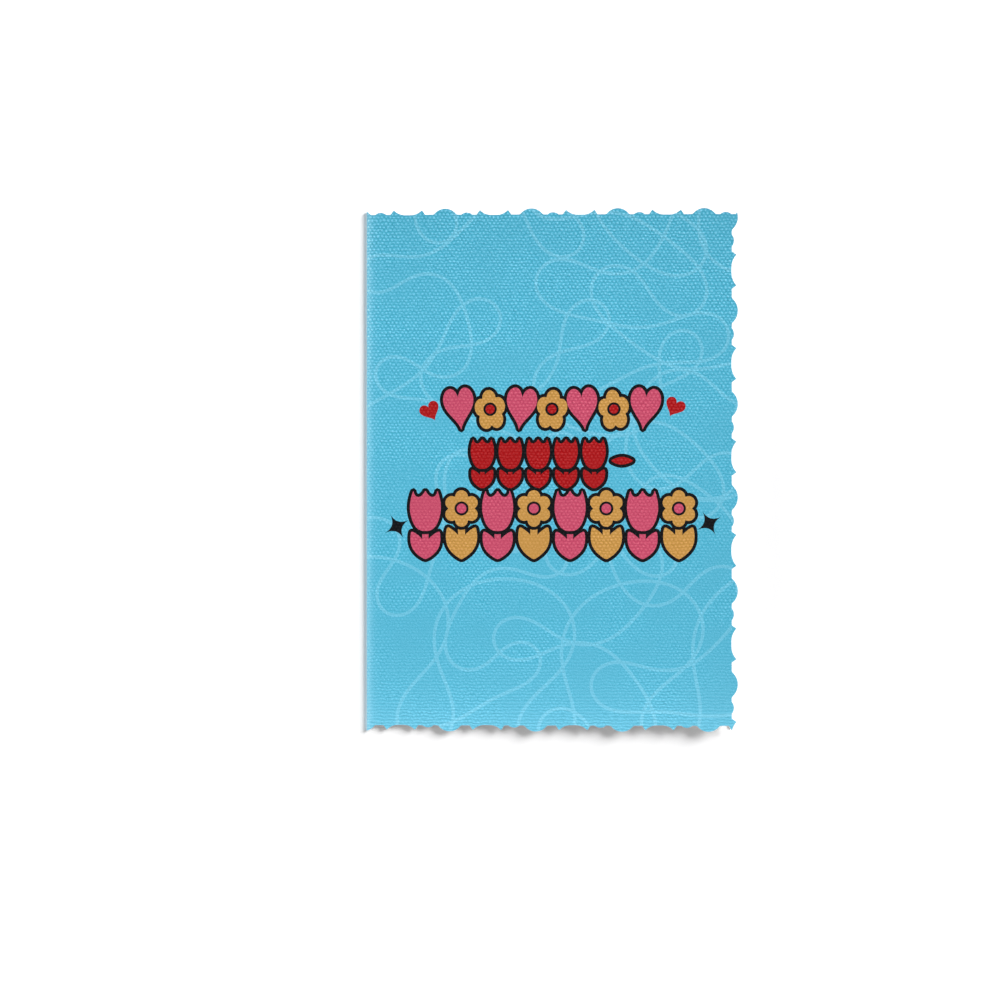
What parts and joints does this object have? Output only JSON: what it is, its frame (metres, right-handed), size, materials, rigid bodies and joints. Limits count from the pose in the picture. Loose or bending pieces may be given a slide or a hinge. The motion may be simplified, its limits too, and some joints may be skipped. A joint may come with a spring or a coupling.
{
  "type": "greeting card",
  "caption": "Portrait greeting card folded once along its left side, printed outside, with a scalloped deckle cut on its three free sides.",
  "frame": {"origin": "under the middle of the closed card, on the surface that the back leaf lies on", "axes": "+X from the fold to the free side, +Y up the front as it is read, +Z out of the front"},
  "size_m": [0.105, 0.148, 0.004],
  "materials": {
    "printed_stock": "matt print on canvas-embossed card stock, plain white inside"
  },
  "bodies": {
    "root": {"folded_card": "printed_stock"}
  },
  "joints": []
}
